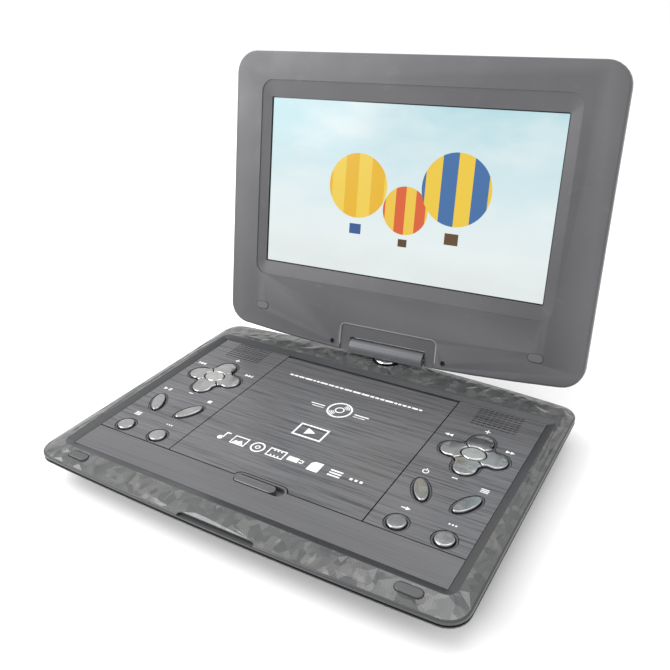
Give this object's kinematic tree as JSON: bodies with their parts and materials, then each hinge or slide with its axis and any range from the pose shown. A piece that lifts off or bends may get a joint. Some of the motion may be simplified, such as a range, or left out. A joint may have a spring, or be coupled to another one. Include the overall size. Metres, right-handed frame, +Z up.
{
  "type": "portable DVD player",
  "caption": "Portable disc player: clamshell with a swivelling, tilting screen on a low base, a brushed disc lid between two key clusters, and sprung keys.",
  "frame": {"origin": "Middle of the base's footprint at the level of the feet's undersides; the flat underside of the tub lies 1.2 mm above it.", "axes": "+X to the user's right, +Y to the back, +Z up; the screen faces -Y."},
  "size_m": [0.29, 0.2665, 0.2347],
  "materials": {
    "housing_plastic": "matte",
    "frame_plastic": "glossy",
    "brushed_panel": "brushed",
    "chrome": "polished",
    "steel": "brushed",
    "rubber": "matte",
    "circuit_board": "satin",
    "inner_plastic": "matte",
    "lcd_glass": "polished"
  },
  "bodies": {
    "base": {"bottom_shell": "housing_plastic", "top_housing": "frame_plastic", "front_panel": "brushed_panel", "key_panel_left": "brushed_panel", "key_panel_right": "brushed_panel", "disc_well": "inner_plastic", "spindle_motor": "steel", "rail_left": "steel", "rail_right": "steel", "sled_motor": "steel", "main_board": "circuit_board", "keypad_board_left": "circuit_board", "keypad_board_right": "circuit_board", "battery_pack": "inner_plastic", "speaker_left": "inner_plastic", "speaker_right": "inner_plastic", "dc_inlet": "inner_plastic", "usb_port": "steel", "card_slot": "steel", "phones_jack": "inner_plastic", "foot_front_left": "rubber", "foot_front_right": "rubber", "foot_back_left": "rubber", "foot_back_right": "rubber", "bumper_front_left": "rubber", "bumper_front_right": "rubber"},
    "lid": {"disc_lid": "brushed_panel"},
    "latch": {"lid_latch": "brushed_panel"},
    "spindle": {"turntable": "inner_plastic"},
    "sled": {"pickup": "inner_plastic"},
    "pinion": {"sled_pinion": "inner_plastic"},
    "key_left_pad_front_body": {"key_left_pad_front": "chrome"},
    "key_left_pad_back_body": {"key_left_pad_back": "chrome"},
    "key_left_pad_left_body": {"key_left_pad_left": "chrome"},
    "key_left_pad_right_body": {"key_left_pad_right": "chrome"},
    "key_left_pad_centre_body": {"key_left_pad_centre": "chrome"},
    "key_left_round_outer_body": {"key_left_round_outer": "chrome"},
    "key_left_round_inner_body": {"key_left_round_inner": "chrome"},
    "key_left_oval_outer_body": {"key_left_oval_outer": "chrome"},
    "key_left_oval_inner_body": {"key_left_oval_inner": "chrome"},
    "key_right_pad_front_body": {"key_right_pad_front": "chrome"},
    "key_right_pad_back_body": {"key_right_pad_back": "chrome"},
    "key_right_pad_left_body": {"key_right_pad_left": "chrome"},
    "key_right_pad_right_body": {"key_right_pad_right": "chrome"},
    "key_right_pad_centre_body": {"key_right_pad_centre": "chrome"},
    "key_right_round_outer_body": {"key_right_round_outer": "chrome"},
    "key_right_round_inner_body": {"key_right_round_inner": "chrome"},
    "key_right_oval_outer_body": {"key_right_oval_outer": "chrome"},
    "key_right_oval_inner_body": {"key_right_oval_inner": "chrome"},
    "turret": {"turret_post": "chrome", "turret_nut": "steel", "hinge_barrel": "housing_plastic", "hinge_shaft": "steel"},
    "screen": {"screen_bezel": "housing_plastic", "screen_back": "housing_plastic", "lcd_panel": "lcd_glass", "screen_board": "circuit_board", "bumper_screen_left": "rubber", "bumper_screen_right": "rubber"}
  },
  "joints": [
    {"name": "lid_hinge", "type": "hinge", "parent": "base", "child": "lid", "pos_m": [0, 0.0684, 0.0194], "axis": [-1, 0, 0], "range_deg": [0, 60]},
    {"name": "latch_slide", "type": "slide", "parent": "base", "child": "latch", "axis": [1, 0, 0], "range_m": [0, 0.005], "stiffness_N_per_m": 200},
    {"name": "disc_spin", "type": "hinge", "parent": "base", "child": "spindle", "pos_m": [0, 0.0039, 0], "axis": [0, 0, 1], "continuous": true},
    {"name": "sled_slide", "type": "slide", "parent": "base", "child": "sled", "axis": [0, -1, 0], "range_m": [0, 0.03]},
    {"name": "pinion_spin", "type": "hinge", "parent": "base", "child": "pinion", "pos_m": [0.0293, -0.0226, 0], "axis": [0, 0, 1], "range_deg": [0, 272.84]},
    {"name": "key_left_pad_front_press", "type": "slide", "parent": "base", "child": "key_left_pad_front_body", "axis": [0, 0, -1], "range_m": [0, 0.0008], "stiffness_N_per_m": 800},
    {"name": "key_left_pad_back_press", "type": "slide", "parent": "base", "child": "key_left_pad_back_body", "axis": [0, 0, -1], "range_m": [0, 0.0008], "stiffness_N_per_m": 800},
    {"name": "key_left_pad_left_press", "type": "slide", "parent": "base", "child": "key_left_pad_left_body", "axis": [0, 0, -1], "range_m": [0, 0.0008], "stiffness_N_per_m": 800},
    {"name": "key_left_pad_right_press", "type": "slide", "parent": "base", "child": "key_left_pad_right_body", "axis": [0, 0, -1], "range_m": [0, 0.0008], "stiffness_N_per_m": 800},
    {"name": "key_left_pad_centre_press", "type": "slide", "parent": "base", "child": "key_left_pad_centre_body", "axis": [0, 0, -1], "range_m": [0, 0.0008], "stiffness_N_per_m": 800},
    {"name": "key_left_round_outer_press", "type": "slide", "parent": "base", "child": "key_left_round_outer_body", "axis": [0, 0, -1], "range_m": [0, 0.0008], "stiffness_N_per_m": 800},
    {"name": "key_left_round_inner_press", "type": "slide", "parent": "base", "child": "key_left_round_inner_body", "axis": [0, 0, -1], "range_m": [0, 0.0008], "stiffness_N_per_m": 800},
    {"name": "key_left_oval_outer_press", "type": "slide", "parent": "base", "child": "key_left_oval_outer_body", "axis": [0, 0, -1], "range_m": [0, 0.0008], "stiffness_N_per_m": 800},
    {"name": "key_left_oval_inner_press", "type": "slide", "parent": "base", "child": "key_left_oval_inner_body", "axis": [0, 0, -1], "range_m": [0, 0.0008], "stiffness_N_per_m": 800},
    {"name": "key_right_pad_front_press", "type": "slide", "parent": "base", "child": "key_right_pad_front_body", "axis": [0, 0, -1], "range_m": [0, 0.0008], "stiffness_N_per_m": 800},
    {"name": "key_right_pad_back_press", "type": "slide", "parent": "base", "child": "key_right_pad_back_body", "axis": [0, 0, -1], "range_m": [0, 0.0008], "stiffness_N_per_m": 800},
    {"name": "key_right_pad_left_press", "type": "slide", "parent": "base", "child": "key_right_pad_left_body", "axis": [0, 0, -1], "range_m": [0, 0.0008], "stiffness_N_per_m": 800},
    {"name": "key_right_pad_right_press", "type": "slide", "parent": "base", "child": "key_right_pad_right_body", "axis": [0, 0, -1], "range_m": [0, 0.0008], "stiffness_N_per_m": 800},
    {"name": "key_right_pad_centre_press", "type": "slide", "parent": "base", "child": "key_right_pad_centre_body", "axis": [0, 0, -1], "range_m": [0, 0.0008], "stiffness_N_per_m": 800},
    {"name": "key_right_round_outer_press", "type": "slide", "parent": "base", "child": "key_right_round_outer_body", "axis": [0, 0, -1], "range_m": [0, 0.0008], "stiffness_N_per_m": 800},
    {"name": "key_right_round_inner_press", "type": "slide", "parent": "base", "child": "key_right_round_inner_body", "axis": [0, 0, -1], "range_m": [0, 0.0008], "stiffness_N_per_m": 800},
    {"name": "key_right_oval_outer_press", "type": "slide", "parent": "base", "child": "key_right_oval_outer_body", "axis": [0, 0, -1], "range_m": [0, 0.0008], "stiffness_N_per_m": 800},
    {"name": "key_right_oval_inner_press", "type": "slide", "parent": "base", "child": "key_right_oval_inner_body", "axis": [0, 0, -1], "range_m": [0, 0.0008], "stiffness_N_per_m": 800},
    {"name": "screen_swivel", "type": "hinge", "parent": "base", "child": "turret", "pos_m": [0, 0.1018, 0.0291], "axis": [0, 0, -1], "range_deg": [-176.76, 3.24]},
    {"name": "screen_tilt", "type": "hinge", "parent": "turret", "child": "screen", "pos_m": [0, 0.1018, 0.0291], "axis": [-0.9984, -0.0565, 0], "range_deg": [-102.33, 47.67]}
  ],
  "couplings": [
    {"joint": "pinion_spin", "follows": "sled_slide", "rad_per_m": 158.73}
  ]
}
